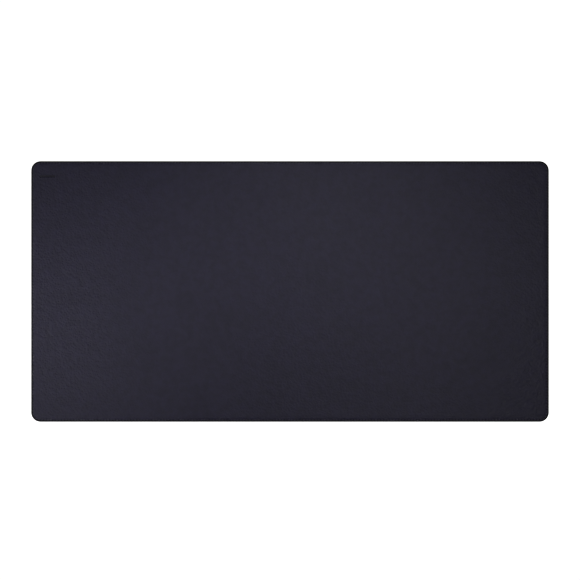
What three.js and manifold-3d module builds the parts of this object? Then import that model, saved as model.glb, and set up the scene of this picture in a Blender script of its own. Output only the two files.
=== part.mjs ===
// A flat desk mat: a leather-look top skin, a thin felt core and a suede backing, bonded into
// one stack, sewn together by a lockstitch seam close to the edge, and sealed by edge paint.
//
// Millimetres. +X runs along the long side, +Y towards the far long side and +Z up. The origin
// lies on the desk, under the middle of the mat.

import * as THREE from 'three';
import { mergeVertices } from 'three/addons/utils/BufferGeometryUtils.js';
import loadManifold from 'manifold-3d';

// Outline of the finished mat, edge paint included.
const MAT_LENGTH = 600;
const MAT_WIDTH = 302;
const CORNER_RADIUS = 10.75;

// Thickness of each layer, from the desk upwards.
const BACKING_THICKNESS = 0.75;
const GLUE_THICKNESS = 0.125;
const CORE_THICKNESS = 0.625;
const SKIN_THICKNESS = 0.875;

// Edge paint: a bead round the cut edge of the stack, a little short of both faces.
const PAINT_WIDTH = 0.5;
const PAINT_SETBACK = 0.125;

// Seam: one thread on each face, pulled down into a shallow groove. SEAM_INSET is measured from
// the outside of the mat to the middle of the seam.
const SEAM_INSET = 2;
const THREAD_WIDTH = 0.625;
const THREAD_HEIGHT = 0.25;
const GROOVE_WIDTH = 1;
const UPPER_GROOVE_DEPTH = 0.25;
const LOWER_GROOVE_DEPTH = 0.375;

// A plain round-ended bar, pressed into the skin near the far left corner.
const BAR_LENGTH = 18.5;
const BAR_WIDTH = 2.75;
const BAR_DEPTH = 0.125;
const BAR_FROM_LEFT = 9.75;
const BAR_FROM_FAR_SIDE = 17.5;

// Fineness of the arcs: each quarter turn is drawn in twice this many straight steps.
const CORNER_SEGMENTS = 8;
const BAR_END_SEGMENTS = 3;

// How far a cutter stands out of the face that it cuts.
const CUTTER_OVERSHOOT = 1;

const SKIN_COLOR = 0x2b2934;
const GLUE_COLOR = 0xcfc9b8;
const CORE_COLOR = 0x4a4a4e;
const BACKING_COLOR = 0x26252b;
const PAINT_COLOR = 0x1a1a1d;
const THREAD_COLOR = 0x24222c;

const SKIN_ROUGHNESS = 0.55;
const GLUE_ROUGHNESS = 0.4;
const FELT_ROUGHNESS = 0.95;
const PAINT_ROUGHNESS = 0.4;
const THREAD_ROUGHNESS = 0.6;

// Height of each boundary between two layers.
const BACKING_TOP = BACKING_THICKNESS;
const LOWER_GLUE_TOP = BACKING_TOP + GLUE_THICKNESS;
const CORE_TOP = LOWER_GLUE_TOP + CORE_THICKNESS;
const UPPER_GLUE_TOP = CORE_TOP + GLUE_THICKNESS;
const MAT_TOP = UPPER_GLUE_TOP + SKIN_THICKNESS;

const wasm = await loadManifold();
wasm.setup();

// Draws a rectangle with four equal round corners, centred at (x, y), on a shape or a hole.
function drawRoundedRectangle(path, x, y, length, width, radius) {
  const right = x + length / 2 - radius;
  const left = x - length / 2 + radius;
  const far = y + width / 2 - radius;
  const near = y - width / 2 + radius;
  path.moveTo(left, near - radius);
  path.lineTo(right, near - radius);
  path.absarc(right, near, radius, -Math.PI / 2, 0);
  path.lineTo(right + radius, far);
  path.absarc(right, far, radius, 0, Math.PI / 2);
  path.lineTo(left, far + radius);
  path.absarc(left, far, radius, Math.PI / 2, Math.PI);
  path.lineTo(left - radius, near);
  path.absarc(left, near, radius, Math.PI, 1.5 * Math.PI);
  return path;
}

// The mat's outline, moved inwards by an inset.
function drawOutline(path, inset) {
  const length = MAT_LENGTH - 2 * inset;
  const width = MAT_WIDTH - 2 * inset;
  return drawRoundedRectangle(path, 0, 0, length, width, CORNER_RADIUS - inset);
}

function extrudeBetween(shape, bottom, top, curveSegments) {
  const settings = { depth: top - bottom, bevelEnabled: false, curveSegments };
  const geometry = new THREE.ExtrudeGeometry(shape, settings);
  geometry.translate(0, 0, bottom);
  return geometry;
}

// A full sheet of the stack, cut to the line where the edge paint starts.
function sheetGeometry(bottom, top) {
  const shape = drawOutline(new THREE.Shape(), PAINT_WIDTH);
  return extrudeBetween(shape, bottom, top, CORNER_SEGMENTS);
}

// A band that follows the outline, between two insets.
function bandGeometry(outerInset, innerInset, bottom, top) {
  const shape = drawOutline(new THREE.Shape(), outerInset);
  shape.holes.push(drawOutline(new THREE.Path(), innerInset));
  return extrudeBetween(shape, bottom, top, CORNER_SEGMENTS);
}

// A band of a given width, centred on the seam line.
function seamBandGeometry(width, bottom, top) {
  return bandGeometry(SEAM_INSET - width / 2, SEAM_INSET + width / 2, bottom, top);
}

function barGeometry(bottom, top) {
  const x = -MAT_LENGTH / 2 + BAR_FROM_LEFT + BAR_LENGTH / 2;
  const y = MAT_WIDTH / 2 - BAR_FROM_FAR_SIDE;
  const shape = drawRoundedRectangle(new THREE.Shape(), x, y, BAR_LENGTH, BAR_WIDTH, BAR_WIDTH / 2);
  return extrudeBetween(shape, bottom, top, BAR_END_SEGMENTS);
}

function solidFromGeometry(geometry) {
  const bare = geometry.clone();
  bare.deleteAttribute('normal');
  bare.deleteAttribute('uv');
  const merged = mergeVertices(bare);
  const vertProperties = new Float32Array(merged.attributes.position.array);
  const triVerts = new Uint32Array(merged.index.array);
  return new wasm.Manifold(new wasm.Mesh({ numProp: 3, vertProperties, triVerts }));
}

function geometryFromSolid(solid) {
  const mesh = solid.getMesh();
  const geometry = new THREE.BufferGeometry();
  geometry.setAttribute('position', new THREE.BufferAttribute(mesh.vertProperties, 3));
  geometry.setIndex(new THREE.BufferAttribute(mesh.triVerts, 1));
  const faceted = geometry.toNonIndexed();
  faceted.computeVertexNormals();
  return faceted;
}

// The first geometry with each of the others cut out of it.
function cutFrom(geometry, cutters) {
  const blank = solidFromGeometry(geometry);
  const solid = cutters.reduce((rest, cutter) => rest.subtract(solidFromGeometry(cutter)), blank);
  return geometryFromSolid(solid);
}

function namedMesh(name, geometry, color, roughness) {
  const material = new THREE.MeshStandardMaterial({ color, roughness, metalness: 0 });
  const mesh = new THREE.Mesh(geometry, material);
  mesh.name = name;
  return mesh;
}

// Top skin: smooth coated leather with the seam groove and the pressed bar in its face.
function makeTopSkin() {
  const cutterTop = MAT_TOP + CUTTER_OVERSHOOT;
  const groove = seamBandGeometry(GROOVE_WIDTH, MAT_TOP - UPPER_GROOVE_DEPTH, cutterTop);
  const bar = barGeometry(MAT_TOP - BAR_DEPTH, cutterTop);
  const geometry = cutFrom(sheetGeometry(UPPER_GLUE_TOP, MAT_TOP), [groove, bar]);
  return namedMesh('top_skin', geometry, SKIN_COLOR, SKIN_ROUGHNESS);
}

// Bonding film between the skin and the core.
function makeUpperGlueFilm() {
  const geometry = sheetGeometry(CORE_TOP, UPPER_GLUE_TOP);
  return namedMesh('upper_glue_film', geometry, GLUE_COLOR, GLUE_ROUGHNESS);
}

// Core: thin felt that stiffens the mat.
function makeCoreSheet() {
  const geometry = sheetGeometry(LOWER_GLUE_TOP, CORE_TOP);
  return namedMesh('core_sheet', geometry, CORE_COLOR, FELT_ROUGHNESS);
}

// Bonding film between the core and the backing.
function makeLowerGlueFilm() {
  const geometry = sheetGeometry(BACKING_TOP, LOWER_GLUE_TOP);
  return namedMesh('lower_glue_film', geometry, GLUE_COLOR, GLUE_ROUGHNESS);
}

// Backing: non-slip suede, with a groove for the lower thread in its underside.
function makeBackingSheet() {
  const groove = seamBandGeometry(GROOVE_WIDTH, -CUTTER_OVERSHOOT, LOWER_GROOVE_DEPTH);
  const geometry = cutFrom(sheetGeometry(0, BACKING_TOP), [groove]);
  return namedMesh('backing_sheet', geometry, BACKING_COLOR, FELT_ROUGHNESS);
}

// Edge paint: a hard bead that seals the cut edges of all five layers.
function makeEdgePaint() {
  const geometry = bandGeometry(0, PAINT_WIDTH, PAINT_SETBACK, MAT_TOP - PAINT_SETBACK);
  return namedMesh('edge_paint', geometry, PAINT_COLOR, PAINT_ROUGHNESS);
}

// Needle thread: lies on the floor of the upper groove, flush with the skin.
function makeNeedleThread() {
  const bottom = MAT_TOP - UPPER_GROOVE_DEPTH;
  const geometry = seamBandGeometry(THREAD_WIDTH, bottom, bottom + THREAD_HEIGHT);
  return namedMesh('needle_thread', geometry, THREAD_COLOR, THREAD_ROUGHNESS);
}

// Bobbin thread: lies against the roof of the lower groove, clear of the desk.
function makeBobbinThread() {
  const bottom = LOWER_GROOVE_DEPTH - THREAD_HEIGHT;
  const geometry = seamBandGeometry(THREAD_WIDTH, bottom, LOWER_GROOVE_DEPTH);
  return namedMesh('bobbin_thread', geometry, THREAD_COLOR, THREAD_ROUGHNESS);
}

const deskMat = new THREE.Group();
deskMat.name = 'desk_mat';
deskMat.add(makeTopSkin());
deskMat.add(makeUpperGlueFilm());
deskMat.add(makeCoreSheet());
deskMat.add(makeLowerGlueFilm());
deskMat.add(makeBackingSheet());
deskMat.add(makeEdgePaint());
deskMat.add(makeNeedleThread());
deskMat.add(makeBobbinThread());

export default deskMat;
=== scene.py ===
"""Desk mat: a leather-look sheet, sewn close to its painted edge, seen from straight above.

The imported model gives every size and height. Here each layer gets its real surface: the skin and
the backing are pulled down along the seam, each stitch is a twisted thread that dives into its
needle holes, and the edge paint is a rounded bead that laps over both faces.
"""

import math

import bpy
import numpy as np
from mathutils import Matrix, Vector
from mathutils.geometry import delaunay_2d_cdt


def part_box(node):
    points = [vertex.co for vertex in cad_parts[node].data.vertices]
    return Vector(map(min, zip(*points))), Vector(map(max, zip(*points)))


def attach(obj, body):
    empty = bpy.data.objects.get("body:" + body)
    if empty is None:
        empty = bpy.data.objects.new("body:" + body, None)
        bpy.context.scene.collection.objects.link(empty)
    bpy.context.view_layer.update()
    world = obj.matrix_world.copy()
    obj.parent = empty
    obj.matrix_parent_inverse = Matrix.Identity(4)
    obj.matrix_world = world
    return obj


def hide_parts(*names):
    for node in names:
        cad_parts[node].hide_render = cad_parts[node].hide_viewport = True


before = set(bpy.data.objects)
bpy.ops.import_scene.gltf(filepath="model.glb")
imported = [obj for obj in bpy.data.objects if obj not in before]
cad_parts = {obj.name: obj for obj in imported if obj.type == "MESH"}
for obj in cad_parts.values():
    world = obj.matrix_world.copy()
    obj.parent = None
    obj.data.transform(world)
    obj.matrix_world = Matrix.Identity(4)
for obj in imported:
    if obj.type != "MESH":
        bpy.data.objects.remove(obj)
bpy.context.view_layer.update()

MM = 0.001
SEED = 7

# Heights and outline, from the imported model.
paint_low, paint_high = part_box("edge_paint")
skin_low, skin_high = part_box("top_skin")
core_low, core_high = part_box("core_sheet")
backing_low, backing_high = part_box("backing_sheet")
HALF_LENGTH = paint_high.x
HALF_WIDTH = paint_high.y
CUT_INSET = paint_high.x - skin_high.x

# Outline and seam, as in the CAD model.
CORNER_RADIUS = 10.75 * MM
SEAM_INSET = 2.0 * MM

# Stitches on the near, right, far and left sides, and round each corner.
SIDE_STITCHES = (166, 86, 169, 85)
CORNER_STITCHES = 4

# Where the sewn faces, the core and the edge paint are sampled along each stitch, as shares of
# it from one needle hole to the next. The faces are sampled most closely by the holes.
STITCH_SAMPLES = (0.0, 0.07, 0.16, 0.35, 0.65, 0.84, 0.93)
CORE_SAMPLES = (0.0, 0.5)
PAINT_SAMPLES = (0.0, 0.16, 0.33, 0.5, 0.67, 0.84)

# Insets of the rows that follow the seam, from the cut edge inwards, and of the wider loops
# between them and the plain middle of a sheet.
SEAM_ROWS = [
    CUT_INSET + step * MM
    for step in (0, 0.07, 0.2, 0.42, 0.7, 0.95, 1.15, 1.3, 1.42, 1.5, 1.58, 1.7, 1.85, 2.05, 2.35, 2.8)
]
WIDE_LOOPS = [inset * MM for inset in (4.2, 5.2, 6.5, 8.0)]
CORE_LOOP = 8.0 * MM

# The plain middle of a sheet: how far apart its points lie on a face that shows and on a hidden
# one, and how far they keep from the last loop, in steps of their grid.
GRID_STEP = 4 * MM
HIDDEN_GRID_STEP = 25 * MM
GRID_MARGIN = 0.7

# Points of a triangulation that lie closer together than this count as one.
SAME_POINT = 1e-9

# Shape of a sewn face: depths below its level, and how far each reaches.
PULL_WIDTH = 2.2 * MM
SHOULDER_WIDTH = 0.8 * MM
VALLEY_DEPTH = 0.10 * MM
VALLEY_WIDTH = 0.38 * MM
PUCKER_DEPTH = 0.06 * MM
PUCKER_WIDTH = 1.1 * MM
HOLE_DEPTH = 0.34 * MM
HOLE_RADIUS = 0.55 * MM
# A hole's dimple runs out towards the edge, where the thread pulls on the rim: distances on that
# side count for less.
HOLE_REACH = 0.6
# The dark spot at a hole, which is painted shade, is smaller than its dimple: the nearness is raised to
# this power.
HOLE_SHADE_POWER = 2
SKIN_PULL = 0.26 * MM
SKIN_SHOULDER = 0.34 * MM
BACKING_PULL = 0.20 * MM
BACKING_SHOULDER = 0.26 * MM

# Gentle unevenness of the laid mat's top: a sum of waves, each with its turn in radians per
# metre along x and along y, its start and its share. The swell begins at the first inset and is
# full at the second.
SWELL_HEIGHT = 0.03 * MM
SWELL_WAVES = ((47, 21, 0.6, 1.0), (-29, 63, 2.1, 1.0), (88, -54, 4.0, 0.6))
SWELL_START = 6.5 * MM
SWELL_FULL = 40 * MM

# The plain bar pressed into the skin: its outline, the slope of its edge, the low rim pushed up
# outside it, and the slope over which it darkens.
BAR_LENGTH = 18.5 * MM
BAR_WIDTH = 2.75 * MM
BAR_CENTRE = Vector((-HALF_LENGTH + 9.75 * MM + BAR_LENGTH / 2, HALF_WIDTH - 17.5 * MM))
BAR_DEPTH = 0.2 * MM
BAR_SLOPE = 0.3 * MM
BAR_RIM_HEIGHT = 0.06 * MM
BAR_RIM_WIDTH = 0.3 * MM
BAR_RIM_OFFSET = 1.5 * BAR_SLOPE
BAR_SHADE_SLOPE = 1.4 * BAR_SLOPE

# Loops of points round the bar, as distances outside its outline, and how far the points of the
# plain middle keep from the outermost one.
BAR_LOOPS = [offset * MM for offset in (-0.9, -0.5, -0.3, -0.15, 0.0, 0.15, 0.3, 0.5, 0.8, 1.2)]
BAR_SAMPLE_STEP = 0.4 * MM
BAR_FEWEST_ARC_STEPS = 4
BAR_CLEARANCE = 0.3 * GRID_STEP

# Thread: three strands twisted together, and how deep its middle lies below each face.
THREAD_RADIUS = 0.29 * MM
THREAD_FLATNESS = 0.85
STRANDS = 3
SAMPLES_PER_STRAND = 4
STRAND_GROOVE = 0.24
TWIST_LENGTH = 1.9 * MM
THREAD_RINGS = 14
NEEDLE_THREAD_DEPTH = 0.17 * MM
BOBBIN_THREAD_DEPTH = 0.27 * MM

# Each stitch: the share of its pitch left free at each end, how far it dives into the holes and
# how suddenly, how much thinner it is pulled there, and how far it lies askew.
STITCH_END = 0.12
STITCH_DIVE = 0.62 * MM
DIVE_POWER = 6
STITCH_TAPER = 0.3
TAPER_POWER = 8
STITCH_SLANT = 0.11 * MM

# How much the stitches differ from each other, as standard deviations.
SLANT_SPREAD = 0.35
LIFT_SPREAD = 0.02 * MM
THICKNESS_SPREAD = 0.03

# How fast the fibre pattern runs along the thread, per stitch.
FIBRE_RUN = 0.25

# Edge paint: how far it laps over each face, how far it stands above the face and reaches below
# it there, how boxy its outside is, and its unevenness.
PAINT_LAP = 1.45 * MM
PAINT_LIP = 0.05 * MM
PAINT_SQUARENESS = 3.8
PAINT_WAVER = 0.06 * MM
# The waver of the lap's edge: whole waves round the mat, so that the ends meet, and their starts.
PAINT_WAVES = ((61, 0.0), (109, 1.7), (31, 4.1))
# The lap runs in a little further at each needle hole, where paint sinks into the dimple.
PAINT_WICK = 0.15 * MM
# Where the bead is sampled from the edge of its lap (0) out to the middle of its outside (1), and
# the number of rows that lie under each lap.
PAINT_STEPS = (0.0, 0.14, 0.28, 0.42, 0.56, 0.7, 0.82, 0.91, 0.965, 0.99)
PAINT_INNER_STEPS = 5

SHARP_ANGLE = math.radians(50)

# Camera: straight above, wide enough for a white margin round the mat. The mat lies a little
# below the middle of the picture.
VIEW_WIDTH = 672.5 * MM
VIEW_RISE = 1.7 * MM
LENS = 160
SENSOR = 36

# Studio: a wide floor just under the mat, and a little light from all round.
FLOOR_HALF_SIZE = 6.0
FLOOR_GAP = 0.02 * MM
WORLD_LIGHT = 0.05

# Colours of the materials: linear red, green and blue, and opacity.
LEATHER_DARK = (0.0178, 0.0149, 0.0404, 1)
LEATHER_LIGHT = (0.0256, 0.0214, 0.0573, 1)
# Painted shade: the leather is darkened towards this in the creases between its pebbles and in the
# hollows of its mottle and dimples.
LEATHER_PAINTED_SHADE = (0.0084, 0.0072, 0.0187, 1)
# The pressed bar's darker leather; the same colour is painted shade in the needle holes.
LEATHER_PRESSED_AND_HOLE_SHADE = (0.0060, 0.0048, 0.0140, 1)
SUEDE_DARK = (0.012, 0.0115, 0.015, 1)
SUEDE_LIGHT = (0.024, 0.023, 0.029, 1)
SUEDE_NAP = (0.045, 0.043, 0.052, 1)
SUEDE_SHEEN = (0.55, 0.53, 0.62, 1)
FELT_DARK = (0.04, 0.04, 0.043, 1)
FELT_LIGHT = (0.11, 0.11, 0.115, 1)
GLUE_DARK = (0.50, 0.46, 0.37, 1)
GLUE_LIGHT = (0.66, 0.62, 0.52, 1)
PAINT_DARK = (0.0032, 0.0032, 0.0036, 1)
PAINT_LIGHT = (0.0055, 0.0055, 0.0060, 1)
PAINT_SCUFF = (0.03, 0.03, 0.033, 1)
THREAD_DARK = (0.040, 0.037, 0.054, 1)
THREAD_LIGHT = (0.085, 0.080, 0.110, 1)
FLOOR_COLOUR = (0.25, 0.25, 0.25, 1)
FLOOR_GLOW = (0.98, 0.98, 0.98, 1)


# --- Outline -----------------------------------------------------------------------------------


def outline_stretches():
    """The four sides and four corners, counter-clockwise from the near left: the two anchors, the
    direction at the start, the turn, and the number of stitches of each."""
    x = HALF_LENGTH - CORNER_RADIUS
    y = HALF_WIDTH - CORNER_RADIUS
    corners = [(-x, -y), (x, -y), (x, y), (-x, y)]
    quarter = math.pi / 2
    stretches = []
    for side, stitches in enumerate(SIDE_STITCHES):
        start = np.array(corners[side])
        end = np.array(corners[(side + 1) % 4])
        heading = (side - 1) * quarter
        stretches.append((start, end, heading, 0.0, stitches))
        stretches.append((end, end, heading, quarter, CORNER_STITCHES))
    return stretches


STRETCHES = outline_stretches()
STITCH_COUNT = sum(stretch[4] for stretch in STRETCHES)


def outline(places):
    """Anchors and outward directions at places round the mat, counted in stitches. The outline at
    an inset runs through anchor + direction * (CORNER_RADIUS - inset)."""
    places = np.asarray(places, float) % STITCH_COUNT
    anchors = np.zeros((*places.shape, 2))
    directions = np.zeros((*places.shape, 2))
    first = 0
    for start, end, heading, turn, count in STRETCHES:
        here = (places >= first) & (places < first + count)
        share = (places[here] - first) / count
        anchors[here] = start + share[:, None] * (end - start)
        angle = heading + turn * share
        directions[here] = np.stack([np.cos(angle), np.sin(angle)], axis=1)
        first += count
    return anchors, directions


def points_at(places, insets):
    """Points on the plane at those places round the mat and those insets from its outside."""
    anchors, directions = outline(places)
    reach = CORNER_RADIUS - np.asarray(insets)
    return anchors + directions * reach[..., None]


def stitch_length(places):
    """The length of the stitch at each place, measured along the seam."""
    start = points_at(np.floor(places), np.full(np.shape(places), SEAM_INSET))
    end = points_at(np.floor(places) + 1, np.full(np.shape(places), SEAM_INSET))
    return np.linalg.norm(end - start, axis=-1)


def loop_places(samples):
    """Places of one closed loop, with the given samples along each stitch."""
    return (np.arange(STITCH_COUNT)[:, None] + np.array(samples)).ravel()


# --- Surface shape -----------------------------------------------------------------------------


def smooth_step(low, high, value):
    share = np.clip((value - low) / (high - low), 0, 1)
    return share * share * (3 - 2 * share)


def bell(distance, width):
    return np.exp(-((distance / width) ** 2))


def hole_nearness(places, insets):
    """1 in the middle of a needle hole, falling to 0 round it."""
    along = (places - np.round(places)) * stitch_length(places)
    from_seam = insets - SEAM_INSET
    across = np.where(from_seam < 0, HOLE_REACH * from_seam, from_seam)
    return bell(np.hypot(along, across), HOLE_RADIUS)


def seam_depth(places, insets, pull, shoulder):
    """How far a sewn face lies below its level: pulled down towards the seam, rounded off at the
    cut edge, with a valley under the thread, puckers between the holes and a dimple at each."""
    from_seam = insets - SEAM_INSET
    inwards = np.maximum(from_seam, 0)
    depth = pull * bell(inwards, PULL_WIDTH)
    past_crest = np.clip((CUT_INSET + SHOULDER_WIDTH - insets) / SHOULDER_WIDTH, 0, 1)
    depth = depth + shoulder * (1 - np.sqrt(1 - past_crest**2))
    depth = depth + VALLEY_DEPTH * bell(from_seam, VALLEY_WIDTH)
    depth = depth + PUCKER_DEPTH * np.cos(2 * math.pi * places) * bell(from_seam, PUCKER_WIDTH)
    return depth + HOLE_DEPTH * hole_nearness(places, insets)


def swell(x, y):
    """Long, low waves in the laid mat, which die out at the seam."""
    inset = np.minimum(HALF_LENGTH - np.abs(x), HALF_WIDTH - np.abs(y))
    waves = 0
    for along_x, along_y, start, share in SWELL_WAVES:
        waves = waves + share * np.sin(along_x * x + along_y * y + start)
    return SWELL_HEIGHT * waves * smooth_step(SWELL_START, SWELL_FULL, inset)


def bar_distance(x, y):
    """Distance outside the outline of the pressed bar, negative inside it."""
    half_run = (BAR_LENGTH - BAR_WIDTH) / 2
    along = np.maximum(np.abs(x - BAR_CENTRE.x) - half_run, 0)
    return np.hypot(along, y - BAR_CENTRE.y) - BAR_WIDTH / 2


def bar_depth(x, y):
    """How far the skin is pressed in at the bar, less the low rim that is pushed up round it."""
    distance = bar_distance(x, y)
    pressed = BAR_DEPTH * (1 - smooth_step(-BAR_SLOPE, BAR_SLOPE, distance))
    return pressed - BAR_RIM_HEIGHT * bell(distance - BAR_RIM_OFFSET, BAR_RIM_WIDTH)


def bar_loops():
    """Points on loops round the pressed bar, which carry its shape."""
    half_run = (BAR_LENGTH - BAR_WIDTH) / 2
    loops = []
    for offset in BAR_LOOPS:
        radius = BAR_WIDTH / 2 + offset
        run_steps = round(2 * half_run / BAR_SAMPLE_STEP)
        arc_steps = max(BAR_FEWEST_ARC_STEPS, round(math.pi * radius / BAR_SAMPLE_STEP))
        for side in (1, -1):
            run = np.linspace(-half_run, half_run, run_steps, endpoint=False) * side
            loops.append(np.stack([run, np.full(run.shape, -radius * side)], axis=1))
            angle = np.linspace(-math.pi / 2, math.pi / 2, arc_steps, endpoint=False)
            arc = np.stack([half_run + radius * np.cos(angle), radius * np.sin(angle)], axis=1)
            loops.append(arc * side)
    return np.concatenate(loops) + np.array(BAR_CENTRE)


def grid_points(inset, step):
    """A plain grid of points well inside the loop at that inset."""
    x_reach = HALF_LENGTH - inset - GRID_MARGIN * step
    y_reach = HALF_WIDTH - inset - GRID_MARGIN * step
    x = np.linspace(-x_reach, x_reach, max(2, round(2 * x_reach / step)))
    y = np.linspace(-y_reach, y_reach, max(2, round(2 * y_reach / step)))
    return np.stack(np.meshgrid(x, y), axis=-1).reshape(-1, 2)


# --- Meshes ------------------------------------------------------------------------------------


class MeshBuilder:
    """Collects the vertices and faces of one mesh, and how far each vertex is darkened: painted shade at
    the needle holes.
    """

    def __init__(self):
        self.points = []
        self.hole_shade_and_press = []
        self.faces = []
        self.count = 0

    def add(self, plane_points, heights, hole_shade_and_press=0.0):
        """Adds points and returns their numbers."""
        heights = np.broadcast_to(heights, len(plane_points))
        self.points.append(np.column_stack([plane_points, heights]))
        self.hole_shade_and_press.append(np.broadcast_to(hole_shade_and_press, len(plane_points)))
        numbers = np.arange(self.count, self.count + len(plane_points))
        self.count += len(plane_points)
        return numbers

    def bridge(self, first, second):
        """Quads between two closed loops of equal length."""
        quads = np.stack([first, np.roll(first, -1), np.roll(second, -1), second], axis=1)
        self.faces.extend(quads.tolist())

    def bridge_unequal(self, fine, coarse, turned=False):
        """Triangles between a fine loop and one that has only its first sample of each group."""
        group = len(fine) // len(coarse)
        middle = group // 2
        next_coarse = np.roll(coarse, -1)
        faces = [np.stack([fine[middle::group], next_coarse, coarse], axis=1)]
        for step in range(group):
            end = np.roll(fine, -1)[step::group]
            tip = coarse if step < middle else next_coarse
            faces.append(np.stack([fine[step::group], end, tip], axis=1))
        faces = np.concatenate(faces)
        self.faces.extend((faces[:, ::-1] if turned else faces).tolist())

    def fill(self, loop, inner, height_of, turned=False):
        """Triangles across a loop, through the inner points."""
        rim = np.concatenate(self.points)[loop][:, :2]
        flat = [Vector(point) for point in np.concatenate([rim, inner]).tolist()]
        edges = [(i, (i + 1) % len(loop)) for i in range(len(loop))]
        found = delaunay_2d_cdt(flat, edges, [], 1, SAME_POINT)
        places, triangles, sources = found[0], found[2], found[3]
        plane = np.array([tuple(place) for place in places])
        numbers = np.zeros(len(places), int)
        is_rim = np.array([bool(source) and min(source) < len(loop) for source in sources])
        numbers[is_rim] = [loop[min(source)] for source in sources if source and min(source) < len(loop)]
        fresh = plane[~is_rim]
        numbers[~is_rim] = self.add(fresh, height_of(fresh[:, 0], fresh[:, 1]))
        faces = numbers[np.array(triangles)]
        self.faces.extend((faces[:, ::-1] if turned else faces).tolist())

    def make(self, name, material, upside_down_about=None):
        """The finished object. A sheet that faces down is built face up and then mirrored."""
        points = np.concatenate(self.points)
        faces = self.faces
        if upside_down_about is not None:
            points[:, 2] = upside_down_about - points[:, 2]
            faces = [face[::-1] for face in faces]
        return new_object(name, points, faces, material)


def new_object(name, points, faces, material):
    mesh = bpy.data.meshes.new(name)
    mesh.from_pydata(points.tolist(), [], faces)
    mesh.materials.append(material)
    mesh.shade_smooth()
    mesh.set_sharp_from_angle(angle=SHARP_ANGLE)
    piece = bpy.data.objects.new(name, mesh)
    bpy.context.scene.collection.objects.link(piece)
    return piece


def sewn_sheet(thickness, pull, shoulder, face_height, inner_points, back_height=0.0):
    """A closed sheet with a flat back and a sewn face, built face up on its back."""
    builder = MeshBuilder()
    fine = loop_places(STITCH_SAMPLES)
    coarse = loop_places((0.0,))
    last_inset = WIDE_LOOPS[-1]

    def loop(places, inset, height):
        return builder.add(points_at(places, np.full(places.shape, inset)), height)

    def face_loop(places, inset):
        insets = np.full(places.shape, inset)
        plane = points_at(places, insets)
        depth = seam_depth(places, insets, pull, shoulder)
        heights = thickness - depth + face_height(plane[:, 0], plane[:, 1])
        # The needle holes get painted shade: the colour is darkened there.
        return builder.add(plane, heights, hole_nearness(places, insets) ** HOLE_SHADE_POWER)

    back = loop(coarse, last_inset, back_height)
    hidden = grid_points(last_inset, HIDDEN_GRID_STEP)
    builder.fill(back, hidden, lambda x, y: np.full(x.shape, back_height), turned=True)
    rim = loop(fine, CUT_INSET, back_height)
    builder.bridge_unequal(rim, back, turned=True)
    for inset in SEAM_ROWS:
        row = face_loop(fine, inset)
        builder.bridge(rim, row)
        rim = row
    ring = face_loop(coarse, WIDE_LOOPS[0])
    builder.bridge_unequal(rim, ring)
    for inset in WIDE_LOOPS[1:]:
        row = face_loop(coarse, inset)
        builder.bridge(ring, row)
        ring = row
    builder.fill(ring, inner_points, lambda x, y: thickness + face_height(x, y))
    return builder


# --- Pieces ------------------------------------------------------------------------------------


def skin_face_height(x, y):
    return swell(x, y) - bar_depth(x, y)


def make_top_skin(material):
    grid = grid_points(WIDE_LOOPS[-1], GRID_STEP)
    clear_of_bar = bar_distance(grid[:, 0], grid[:, 1]) > BAR_LOOPS[-1] + BAR_CLEARANCE
    inner = np.concatenate([grid[clear_of_bar], bar_loops()])
    thickness = skin_high.z - skin_low.z
    builder = sewn_sheet(thickness, SKIN_PULL, SKIN_SHOULDER, skin_face_height, inner)
    for points in builder.points:
        points[:, 2] += skin_low.z
    piece = builder.make("leather_skin", material)
    points = np.concatenate(builder.points)
    # The skin is darker in the pressed bar, which is the leather's own colour there, and in the needle
    # holes, which is painted shade.
    pressed = 1 - smooth_step(-BAR_SHADE_SLOPE, 0, bar_distance(points[:, 0], points[:, 1]))
    hole_shade_and_press = np.maximum(np.concatenate(builder.hole_shade_and_press), pressed)
    layer = piece.data.attributes.new("hole_shade_and_press", "FLOAT", "POINT")
    layer.data.foreach_set("value", hole_shade_and_press.astype(np.float32))
    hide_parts("top_skin")
    return piece


def make_backing(material):
    inner = grid_points(WIDE_LOOPS[-1], GRID_STEP)
    thickness = backing_high.z - backing_low.z
    builder = sewn_sheet(thickness, BACKING_PULL, BACKING_SHOULDER, lambda x, y: 0 * x, inner)
    piece = builder.make("suede_backing", material, upside_down_about=backing_high.z)
    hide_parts("backing_sheet")
    return piece


def make_core(material):
    """The felt core: a plain closed sheet between the two glue films."""
    builder = MeshBuilder()
    places = loop_places(CORE_SAMPLES)
    insets = np.full(places.shape, CUT_INSET)
    inner_insets = np.full(places.shape, CORE_LOOP)
    lower_ring = builder.add(points_at(places, inner_insets), core_low.z)
    lower_rim = builder.add(points_at(places, insets), core_low.z)
    upper_rim = builder.add(points_at(places, insets), core_high.z)
    upper_ring = builder.add(points_at(places, inner_insets), core_high.z)
    builder.bridge(lower_ring, lower_rim)
    builder.bridge(lower_rim, upper_rim)
    builder.bridge(upper_rim, upper_ring)
    inner = grid_points(CORE_LOOP, HIDDEN_GRID_STEP)
    builder.fill(lower_ring, inner, lambda x, y: np.full(x.shape, core_low.z), turned=True)
    builder.fill(upper_ring, inner, lambda x, y: np.full(x.shape, core_high.z))
    piece = builder.make("felt_core", material)
    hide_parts("core_sheet")
    return piece


def skin_surface(places, insets):
    return skin_high.z - seam_depth(places, insets, SKIN_PULL, SKIN_SHOULDER)


def backing_surface(places, insets):
    return backing_low.z + seam_depth(places, insets, BACKING_PULL, BACKING_SHOULDER)


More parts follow.
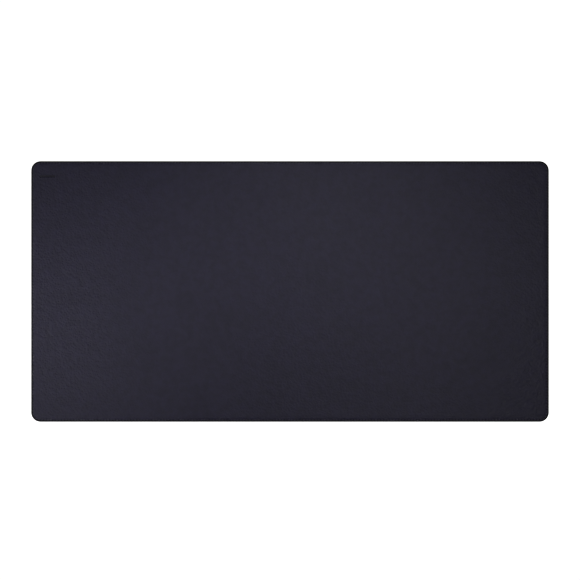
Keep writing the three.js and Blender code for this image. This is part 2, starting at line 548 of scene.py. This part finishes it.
def paint_section(places):
    """The bead's cross-section at each place, as pairs of inset and height, counter-clockwise
    round it: the outside from the lower lap to the upper one, then back under the laps. Each lap
    lies on its face, dimples included."""
    turn = places / STITCH_COUNT * 2 * math.pi
    waver = sum(np.sin(waves * turn + start) for waves, start in PAINT_WAVES) / len(PAINT_WAVES)
    lap = PAINT_LAP + PAINT_WAVER * waver + PAINT_WICK * np.cos(2 * math.pi * places)
    top = skin_surface(places, lap) + PAINT_LIP
    bottom = backing_surface(places, lap) - PAINT_LIP
    middle = (top + bottom) / 2
    half = (top - bottom) / 2
    upper = []
    lower = []
    for out in PAINT_STEPS:
        inset = lap * (1 - out)
        rise = half * (1 - out**PAINT_SQUARENESS) ** (1 / PAINT_SQUARENESS)
        upper.append((inset, np.maximum(middle + rise, skin_surface(places, inset) + PAINT_LIP)))
        lower.append((inset, np.minimum(middle - rise, backing_surface(places, inset) - PAINT_LIP)))
    section = lower + [(0 * lap, middle)] + upper[::-1]
    under_lap = np.linspace(0, 1, PAINT_INNER_STEPS)
    for share in under_lap:
        inset = lap + (CUT_INSET - lap) * share
        section.append((inset, skin_surface(places, inset) - PAINT_LIP))
    for share in reversed(under_lap):
        inset = lap + (CUT_INSET - lap) * share
        section.append((inset, backing_surface(places, inset) + PAINT_LIP))
    return section


def make_edge_paint(material):
    builder = MeshBuilder()
    places = loop_places(PAINT_SAMPLES)
    section = paint_section(places)
    rows = [builder.add(points_at(places, insets), heights) for insets, heights in section]
    for row, following in zip(rows, rows[1:] + rows[:1]):
        builder.bridge(row, following)
    piece = builder.make("edge_bead", material)
    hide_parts("edge_paint")
    return piece


def make_thread(name, node, level, side, depth, seed, material):
    """One thread's stitches on one face. side is 1 on the top face and -1 on the underside. The
    fibre attribute runs round and along each stitch."""
    random = np.random.default_rng(seed)
    count = STITCH_COUNT
    along = np.linspace(0, 1, THREAD_RINGS)
    ends = np.abs(2 * along - 1)
    slant = STITCH_SLANT * (1 + SLANT_SPREAD * random.standard_normal((count, 1)))
    lift = LIFT_SPREAD * random.standard_normal((count, 1))
    swelling = 1 + THICKNESS_SPREAD * random.standard_normal((count, 1))
    places = np.arange(count)[:, None] + STITCH_END + (1 - 2 * STITCH_END) * along
    plane = points_at(places, SEAM_INSET + slant * (2 * along - 1))
    heights = level - side * (depth + STITCH_DIVE * ends**DIVE_POWER + lift)
    centres = np.concatenate([plane, heights[..., None]], axis=-1)

    tangents = np.gradient(centres, axis=1)
    tangents /= np.linalg.norm(tangents, axis=-1, keepdims=True)
    outward = np.concatenate([outline(places)[1], np.zeros((*places.shape, 1))], axis=-1)
    upward = np.cross(outward, tangents)
    upward /= np.linalg.norm(upward, axis=-1, keepdims=True)
    across = np.cross(tangents, upward)

    sections = STRANDS * SAMPLES_PER_STRAND
    corner = np.arange(sections) * 2 * math.pi / sections
    groove = 1 - STRAND_GROOVE * (1 - np.abs(np.cos(STRANDS * corner / 2)))
    run = along * stitch_length(places[:, :1] + 0.5 - STITCH_END)
    twist = 2 * math.pi * run / TWIST_LENGTH + random.uniform(0, 2 * math.pi, (count, 1))
    angle = twist[..., None] + corner
    radius = THREAD_RADIUS * swelling * (1 - STITCH_TAPER * ends**TAPER_POWER)
    reach = radius[..., None] * groove
    points = centres[:, :, None, :] + (
        across[:, :, None, :] * (reach * np.cos(angle))[..., None]
        + upward[:, :, None, :] * (reach * np.sin(angle))[..., None] * THREAD_FLATNESS
    )

    number = np.arange(count * THREAD_RINGS * sections).reshape(count, THREAD_RINGS, sections)
    near, far = number[:, :-1], number[:, 1:]
    quads = np.stack([near, far, np.roll(far, -1, axis=2), np.roll(near, -1, axis=2)], axis=-1)
    caps = np.concatenate([number[:, 0], number[:, -1, ::-1]])
    faces = quads.reshape(-1, 4).tolist() + caps.tolist()
    piece = new_object(name, points.reshape(-1, 3), faces, material)
    fibre = np.empty((count, THREAD_RINGS, sections, 3))
    fibre[..., 0] = np.cos(corner)
    fibre[..., 1] = np.sin(corner)
    fibre[..., 2] = (places * FIBRE_RUN)[..., None]
    layer = piece.data.attributes.new("fibre", "FLOAT_VECTOR", "POINT")
    layer.data.foreach_set("vector", fibre.astype(np.float32).ravel())
    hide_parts(node)
    return piece


# --- Materials ---------------------------------------------------------------------------------


class Nodes:
    """Adds shader nodes to one material."""

    def __init__(self, name):
        self.material = bpy.data.materials.new(name)
        self.material.use_nodes = True
        self.tree = self.material.node_tree
        self.shader = self.tree.nodes["Principled BSDF"]

    def new(self, kind, inputs=(), **settings):
        node = self.tree.nodes.new(kind)
        for key, value in settings.items():
            setattr(node, key, value)
        for key, value in dict(inputs).items():
            self.set(node.inputs[key], value)
        return node

    def set(self, socket, value):
        if isinstance(value, bpy.types.NodeSocket):
            self.tree.links.new(value, socket)
        else:
            socket.default_value = value

    def place(self):
        return self.new("ShaderNodeTexCoord").outputs["Object"]

    def noise(self, vector, scale, detail=3.0, distortion=0.0):
        inputs = {"Vector": vector, "Scale": scale, "Detail": detail, "Distortion": distortion}
        return self.new("ShaderNodeTexNoise", inputs).outputs["Fac"]

    def mapped(self, value, source, target):
        """The value, carried from the source range to the target range."""
        inputs = {
            "Value": value,
            "From Min": source[0],
            "From Max": source[1],
            "To Min": target[0],
            "To Max": target[1],
        }
        return self.new("ShaderNodeMapRange", inputs).outputs["Result"]

    def maths(self, operation, first, second):
        return self.new("ShaderNodeMath", {0: first, 1: second}, operation=operation).outputs[0]

    def mix(self, share, first, second):
        node = self.new("ShaderNodeMix", data_type="RGBA")
        self.set(node.inputs["Factor"], share)
        self.set(node.inputs["A"], first)
        self.set(node.inputs["B"], second)
        return node.outputs["Result"]

    def bump(self, height, distance, strength=1.0, normal=None):
        inputs = {"Height": height, "Distance": distance, "Strength": strength}
        if normal is not None:
            inputs["Normal"] = normal
        return self.new("ShaderNodeBump", inputs).outputs["Normal"]

    def finish(self, **sockets):
        for key, value in sockets.items():
            self.set(self.shader.inputs[key.replace("_", " ")], value)
        return self.material


def leather_material():
    """Coated leather: fine pebbles, pores, and soft uneven patches, with painted shade in the creases
    between the pebbles and in the hollows of the mottle and dimples. It is darkest in the needle holes,
    where the darkening is painted shade, and in the pressed bar, whose pressed leather is darker."""
    nodes = Nodes("leather")
    place = nodes.place()
    cells = nodes.new(
        "ShaderNodeTexVoronoi",
        {"Vector": place, "Scale": 1900, "Randomness": 1.0},
        feature="DISTANCE_TO_EDGE",
    ).outputs["Distance"]
    grains = nodes.new(
        "ShaderNodeTexVoronoi",
        {"Vector": place, "Scale": 380, "Smoothness": 0.8, "Randomness": 1.0},
        feature="SMOOTH_F1",
    ).outputs["Distance"]
    pebble = nodes.mapped(cells, (0.0, 0.22), (0.0, 1.0))
    pores = nodes.noise(place, scale=5200)
    patches = nodes.noise(place, scale=16, detail=4, distortion=0.6)
    mottle = nodes.noise(place, scale=290, detail=4, distortion=0.4)
    dimples = nodes.noise(place, scale=130, distortion=0.3)
    hole_shade_and_press = nodes.new("ShaderNodeAttribute", attribute_name="hole_shade_and_press").outputs["Fac"]

    shade = nodes.mix(patches, LEATHER_DARK, LEATHER_LIGHT)
    # Painted shade in the creases between the pebbles and in the low parts of the mottle and dimples,
    # which are also the bump's hollows.
    shade = nodes.mix(nodes.mapped(pebble, (0.0, 1.0), (0.35, 0.0)), shade, LEATHER_PAINTED_SHADE)
    shade = nodes.mix(nodes.mapped(mottle, (0.35, 0.65), (0.22, 0.0)), shade, LEATHER_PAINTED_SHADE)
    shade = nodes.mix(nodes.mapped(dimples, (0.35, 0.65), (0.40, 0.0)), shade, LEATHER_PAINTED_SHADE)
    # Painted shade in the needle holes, and the pressed bar's darker leather.
    shade = nodes.mix(hole_shade_and_press, shade, LEATHER_PRESSED_AND_HOLE_SHADE)

    fine = nodes.maths("ADD", pebble, nodes.maths("MULTIPLY", pores, 0.35))
    normal = nodes.bump(dimples, distance=0.6 * MM, strength=0.7)
    normal = nodes.bump(grains, distance=0.6 * MM, strength=0.6, normal=normal)
    normal = nodes.bump(mottle, distance=0.3 * MM, strength=0.5, normal=normal)
    normal = nodes.bump(fine, distance=0.04 * MM, strength=0.7, normal=normal)
    return nodes.finish(
        Base_Color=shade,
        Roughness=nodes.mapped(mottle, (0.3, 0.7), (0.50, 0.62)),
        Normal=normal,
        Specular_IOR_Level=0.35,
    )


def suede_material():
    """Microfibre suede: a dense short nap, brushed into lighter and darker patches."""
    nodes = Nodes("suede")
    place = nodes.place()
    nap = nodes.noise(place, scale=3800, detail=5, distortion=0.4)
    clumps = nodes.noise(place, scale=900)
    patches = nodes.noise(place, scale=22, distortion=1.2)
    shade = nodes.mix(patches, SUEDE_DARK, SUEDE_LIGHT)
    shade = nodes.mix(nodes.mapped(nap, (0.35, 0.7), (0.0, 0.5)), shade, SUEDE_NAP)
    return nodes.finish(
        Base_Color=shade,
        Roughness=nodes.mapped(clumps, (0.3, 0.7), (0.86, 0.98)),
        Normal=nodes.bump(nodes.maths("ADD", nap, clumps), distance=0.09 * MM, strength=0.9),
        Sheen_Weight=0.5,
        Sheen_Roughness=0.35,
        Sheen_Tint=SUEDE_SHEEN,
    )


def felt_material():
    """Pressed felt: a tangle of short fibres."""
    nodes = Nodes("felt")
    fibres = nodes.noise(nodes.place(), scale=1600, detail=5, distortion=1.5)
    return nodes.finish(
        Base_Color=nodes.mix(fibres, FELT_DARK, FELT_LIGHT),
        Roughness=nodes.mapped(fibres, (0.3, 0.7), (0.9, 1.0)),
        Normal=nodes.bump(fibres, distance=0.15 * MM),
    )


def glue_material():
    """Hot-melt film: milky, with faint flow marks."""
    nodes = Nodes("glue_film")
    flow = nodes.noise(nodes.place(), scale=140, distortion=2.0)
    return nodes.finish(
        Base_Color=nodes.mix(flow, GLUE_DARK, GLUE_LIGHT),
        Roughness=nodes.mapped(flow, (0.3, 0.7), (0.3, 0.5)),
        Normal=nodes.bump(flow, distance=0.05 * MM),
    )


def paint_material():
    """Edge paint: near-black, satin, a little uneven, with faint scuffs."""
    nodes = Nodes("edge_paint")
    place = nodes.place()
    peel = nodes.noise(place, scale=1500)
    waves = nodes.noise(place, scale=320, detail=2)
    scuffs = nodes.noise(place, scale=700, detail=6, distortion=3.0)
    shade = nodes.mix(waves, PAINT_DARK, PAINT_LIGHT)
    shade = nodes.mix(nodes.mapped(scuffs, (0.62, 0.78), (0.0, 0.4)), shade, PAINT_SCUFF)
    return nodes.finish(
        Base_Color=shade,
        Roughness=nodes.mapped(waves, (0.3, 0.7), (0.42, 0.54)),
        Normal=nodes.bump(nodes.maths("ADD", peel, waves), distance=0.04 * MM, strength=0.8),
        Specular_IOR_Level=0.18,
    )


def thread_material():
    """Waxed polyester thread: fine fibres that follow the twist."""
    nodes = Nodes("thread")
    fibre = nodes.new("ShaderNodeAttribute", attribute_name="fibre").outputs["Vector"]
    strands = nodes.noise(fibre, scale=9.0)
    return nodes.finish(
        Base_Color=nodes.mix(strands, THREAD_DARK, THREAD_LIGHT),
        Roughness=nodes.mapped(strands, (0.3, 0.7), (0.36, 0.55)),
        Normal=nodes.bump(strands, distance=0.03 * MM, strength=0.8),
    )


def floor_material():
    """A pale floor. It glows for the camera only, which keeps it white round the dark mat."""
    nodes = Nodes("floor")
    glow = nodes.new("ShaderNodeLightPath").outputs["Is Camera Ray"]
    return nodes.finish(
        Base_Color=FLOOR_COLOUR,
        Roughness=0.9,
        Specular_IOR_Level=0.1,
        Emission_Color=FLOOR_GLOW,
        Emission_Strength=glow,
    )


# --- Stage -------------------------------------------------------------------------------------


def make_floor():
    signs = np.array([(-1, -1, 0), (1, -1, 0), (1, 1, 0), (-1, 1, 0)])
    floor = new_object("floor", FLOOR_HALF_SIZE * signs, [(0, 1, 2, 3)], floor_material())
    floor.location.z = -FLOOR_GAP


def make_light(name, place, target, side, power, spread=180):
    """A square lamp, in metres and watts. A spread under 180 degrees is a grid on its front."""
    data = bpy.data.lights.new(name, "AREA")
    data.shape = "SQUARE"
    data.size = side
    data.energy = power
    data.spread = math.radians(spread)
    light = bpy.data.objects.new(name, data)
    light.location = place
    light.rotation_euler = (Vector(target) - Vector(place)).to_track_quat("-Z", "Y").to_euler()
    light.visible_camera = False
    bpy.context.scene.collection.objects.link(light)


def make_world():
    """Even light from all round. The camera sees it white."""
    world = bpy.data.worlds.new("studio")
    world.use_nodes = True
    bpy.context.scene.world = world
    tree = world.node_tree
    seen = tree.nodes.new("ShaderNodeBackground")
    seen.inputs["Color"].default_value = (1, 1, 1, 1)
    lighting = tree.nodes["Background"]
    lighting.inputs["Color"].default_value = (WORLD_LIGHT, WORLD_LIGHT, WORLD_LIGHT, 1)
    rays = tree.nodes.new("ShaderNodeLightPath")
    mix = tree.nodes.new("ShaderNodeMixShader")
    tree.links.new(rays.outputs["Is Camera Ray"], mix.inputs[0])
    tree.links.new(lighting.outputs[0], mix.inputs[1])
    tree.links.new(seen.outputs[0], mix.inputs[2])
    tree.links.new(mix.outputs[0], tree.nodes["World Output"].inputs["Surface"])


def make_camera():
    data = bpy.data.cameras.new("camera")
    data.lens = LENS
    data.sensor_width = SENSOR
    camera = bpy.data.objects.new("camera", data)
    camera.location = (0, VIEW_RISE, skin_high.z + VIEW_WIDTH * LENS / SENSOR)
    bpy.context.scene.collection.objects.link(camera)
    bpy.context.scene.camera = camera


# --- Assembly ----------------------------------------------------------------------------------

scene = bpy.context.scene
scene.view_settings.view_transform = "Standard"
scene.cycles.filter_width = 1.0

make_camera()
make_world()
make_floor()
make_light("right_overhead_softbox", (0.203, -0.025, 0.8), (0.203, -0.025, 0), side=0.3, power=1.55)
make_light("near_left_grid", (-0.6, -0.35, 0.9), (-0.28, -0.02, 0), side=0.14, power=0.13, spread=32)
make_light("far_grid", (0, 0.55, 1.1), (0.03, 0.05, 0), side=0.14, power=0.075, spread=27)
make_light("left_softbox", (-1.2, 0.3, 0.6), (0, 0, 0), side=0.5, power=2.6)

thread = thread_material()
skin = make_top_skin(leather_material())
backing = make_backing(suede_material())
core = make_core(felt_material())
bead = make_edge_paint(paint_material())
needle = make_thread(
    "needle_stitches",
    "needle_thread",
    level=skin_high.z,
    side=1,
    depth=NEEDLE_THREAD_DEPTH,
    seed=SEED,
    material=thread,
)
bobbin = make_thread(
    "bobbin_stitches",
    "bobbin_thread",
    level=backing_low.z,
    side=-1,
    depth=BOBBIN_THREAD_DEPTH,
    seed=SEED + 1,
    material=thread,
)
for piece in (skin, backing, core, bead, needle, bobbin):
    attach(piece, "root")

film = glue_material()
for node in ("upper_glue_film", "lower_glue_film"):
    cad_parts[node].data.materials.clear()
    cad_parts[node].data.materials.append(film)
